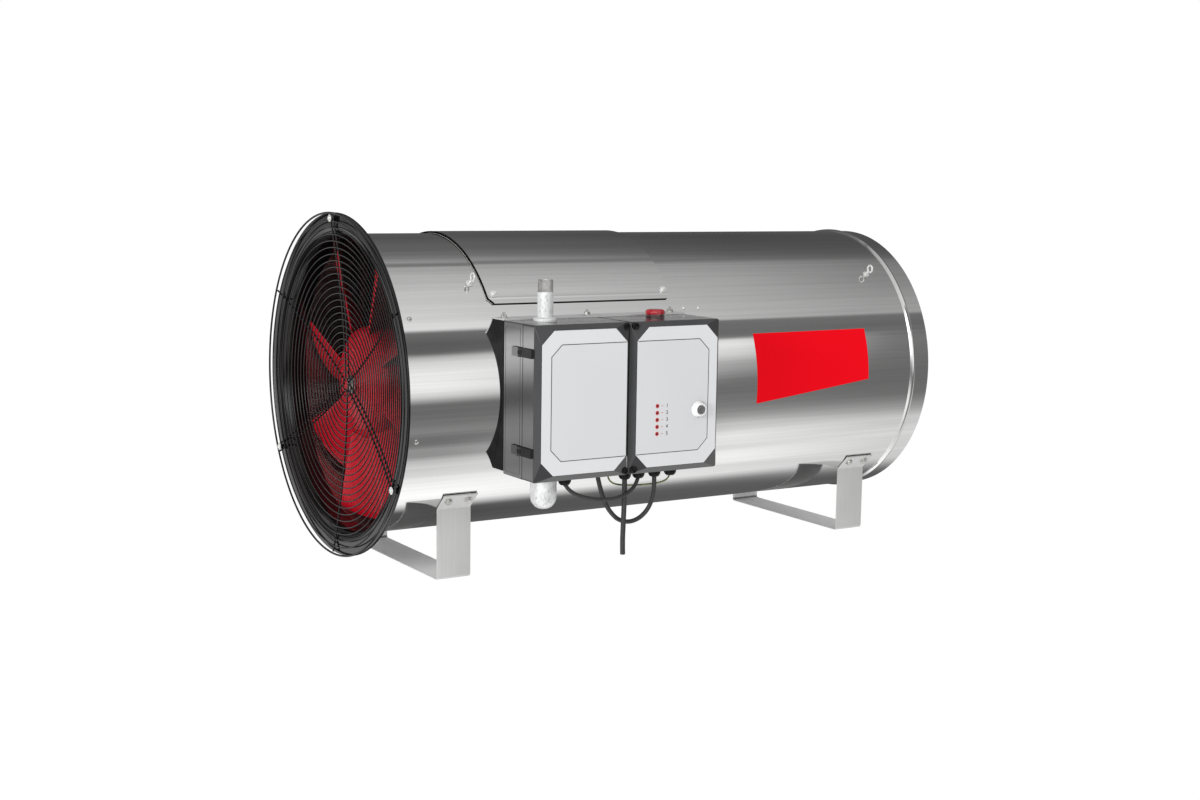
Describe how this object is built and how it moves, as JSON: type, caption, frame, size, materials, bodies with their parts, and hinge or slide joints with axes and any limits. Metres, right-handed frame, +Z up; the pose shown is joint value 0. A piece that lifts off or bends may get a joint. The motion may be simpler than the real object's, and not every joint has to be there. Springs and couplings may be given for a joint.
{
  "type": "propane greenhouse heater",
  "caption": "Horizontal stainless blower heater on strip feet with a guarded inlet fan, an open flame-tube outlet, two hinged plastic boxes and an upright gas pipe.",
  "frame": {"origin": "centre of the base of the bounding box, on the floor under the casing", "axes": "+X along the casing from the fan to the outlet, boxes at -Y, +Z up"},
  "size_m": [1.1626, 0.6992, 0.6305],
  "materials": {
    "polished_stainless": "polished rolled stainless sheet",
    "satin_stainless": "satin stainless strip",
    "zinc_fastener": "zinc plated",
    "black_gloss": "gloss black powder coat",
    "guard_black": "black coated wire",
    "fan_red": "signal red moulding",
    "shaft_steel": "ground steel",
    "motor_grey": "dark grey paint",
    "burner_steel": "heat tinted stainless",
    "brass": "machined brass",
    "galvanised": "galvanised",
    "ceramic": "glazed ceramic with a wire tip",
    "thermostat_black": "moulded",
    "charcoal_plastic": "fine textured moulding",
    "hinge_black": "moulded nylon",
    "panel_grey": "light grey polyester film",
    "seal_rubber": "foam rubber",
    "board_green": "printed circuit board",
    "transformer_blue": "cast resin",
    "lamp_black": "moulded",
    "lamp_red": "clear red lens",
    "led_red": "red lens",
    "bezel_white": "pale moulding",
    "button_grey": "grey moulding",
    "cable_black": "flexible sheath",
    "earth_green": "green and yellow sheath"
  },
  "bodies": {
    "heater_body": {"casing_tube": "polished_stainless", "hatch_cover": "polished_stainless", "casing_screws": "zinc_fastener", "hanging_eyes": "zinc_fastener", "inlet_foot": "satin_stainless", "outlet_foot": "satin_stainless", "foot_bolts": "zinc_fastener", "inlet_ring": "black_gloss", "inlet_rivets": "zinc_fastener", "guard_rings": "guard_black", "guard_spokes": "guard_black", "guard_screws": "zinc_fastener", "motor_body": "motor_grey", "motor_mount": "motor_grey", "flame_tube": "burner_steel", "flame_tube_brackets": "satin_stainless", "swirl_plate": "burner_steel", "burner_cone": "burner_steel", "gas_nozzle": "brass", "ignition_electrode": "ceramic", "flame_sensor_rod": "ceramic", "burner_feed_pipe": "galvanised", "overheat_thermostat": "thermostat_black", "box_saddle": "black_gloss", "saddle_bolts": "zinc_fastener", "gas_box_base": "charcoal_plastic", "control_box_base": "charcoal_plastic", "box_gaskets": "seal_rubber", "gas_pipes": "galvanised", "gas_inlet_flange": "galvanised", "gas_tee": "galvanised", "drip_cap": "galvanised", "gas_valve_body": "brass", "solenoid_coils": "thermostat_black", "control_board": "board_green", "ignition_transformer": "transformer_blue", "alarm_lamp_base": "lamp_black", "alarm_lamp_lens": "lamp_red", "base_hinge_leaves": "hinge_black", "hinge_pins": "zinc_fastener", "gland_bodies": "hinge_black", "gland_nuts": "hinge_black", "link_cable_short": "cable_black", "link_cable_long": "cable_black", "mains_lead": "cable_black", "earth_wire": "earth_green"},
    "fan": {"fan_rotor": "fan_red", "motor_shaft": "shaft_steel"},
    "gas_door": {"gas_lid": "charcoal_plastic", "gas_panel": "panel_grey", "gas_lid_hinges": "hinge_black", "gas_lid_screws": "zinc_fastener"},
    "control_door": {"control_lid": "charcoal_plastic", "control_panel": "panel_grey", "control_lid_hinges": "hinge_black", "control_lid_screws": "zinc_fastener", "status_leds": "led_red", "reset_bezel": "bezel_white"},
    "reset_plunger": {"reset_button": "button_grey"}
  },
  "joints": [
    {"name": "fan_spin", "type": "hinge", "parent": "heater_body", "child": "fan", "pos_m": [-0.48775, 0.04665, 0.3275], "axis": [1, 0, 0], "continuous": true},
    {"name": "gas_lid_hinge", "type": "hinge", "parent": "heater_body", "child": "gas_door", "pos_m": [-0.38475, -0.29135, 0.326], "axis": [0, 0, -1], "range_deg": [0, 120]},
    {"name": "control_lid_hinge", "type": "hinge", "parent": "heater_body", "child": "control_door", "pos_m": [-0.00915, -0.29135, 0.326], "axis": [0, 0, 1], "range_deg": [0, 120]},
    {"name": "reset_press", "type": "slide", "parent": "control_door", "child": "reset_plunger", "axis": [0, 1, 0], "range_m": [0, 0.004], "stiffness_N_per_m": 600}
  ]
}
